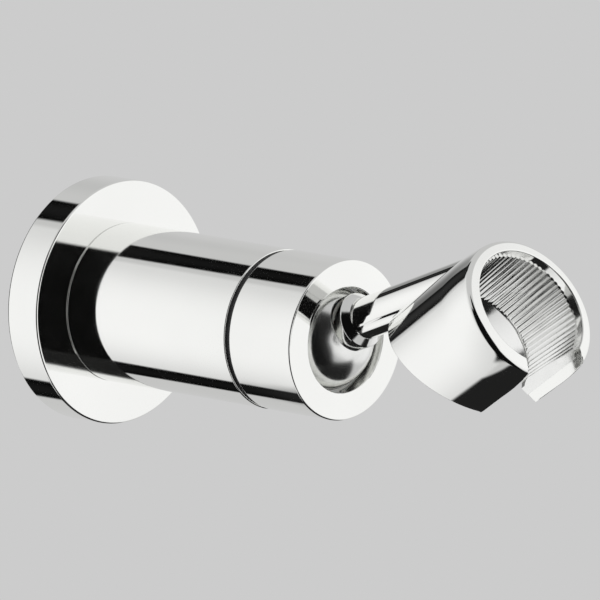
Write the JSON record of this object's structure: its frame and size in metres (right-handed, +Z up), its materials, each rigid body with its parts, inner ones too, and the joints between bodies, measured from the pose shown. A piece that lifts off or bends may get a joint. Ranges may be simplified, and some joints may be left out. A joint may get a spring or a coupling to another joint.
{
  "type": "hand shower holder",
  "caption": "Wall holder for a hand shower: round flange, plain barrel, ball joint, and a slotted ribbed cup on a short stem.",
  "frame": {"origin": "centre of the wall plate's back, on the wall plane", "axes": "+Y into the wall, so the barrel points along -Y; +Z up; +X to the right seen from the front"},
  "size_m": [0.046, 0.1195, 0.0461],
  "materials": {
    "polished_chrome": "polished",
    "plated_plastic": "polished",
    "raw_brass": "machined",
    "steel": "ground",
    "black_rubber": "matt",
    "white_plastic": "smooth"
  },
  "bodies": {
    "base": {"wall_plate": "raw_brass", "flange_gasket": "black_rubber", "flange": "polished_chrome", "shoulder_o_ring": "black_rubber", "barrel": "polished_chrome", "grub_screw": "steel", "groove_ring": "black_rubber", "collar": "polished_chrome", "thrust_washer": "steel", "disc_springs": "steel"},
    "seats": {"front_seat_ring": "white_plastic", "rear_seat": "white_plastic"},
    "joint_ball": {"ball": "polished_chrome"},
    "holder": {"stem": "polished_chrome", "cup": "polished_chrome", "cup_insert": "plated_plastic"}
  },
  "joints": [
    {"name": "swivel", "type": "hinge", "parent": "base", "child": "seats", "pos_m": [0, -0.0593, 0], "axis": [0, -1, 0], "continuous": true},
    {"name": "tilt", "type": "hinge", "parent": "seats", "child": "joint_ball", "pos_m": [0, -0.0593, 0], "axis": [-1, 0, 0], "range_deg": [-50.9, 7.1]},
    {"name": "spin", "type": "hinge", "parent": "joint_ball", "child": "holder", "pos_m": [0, -0.0593, 0], "axis": [0, -0.9278, 0.373], "continuous": true}
  ]
}
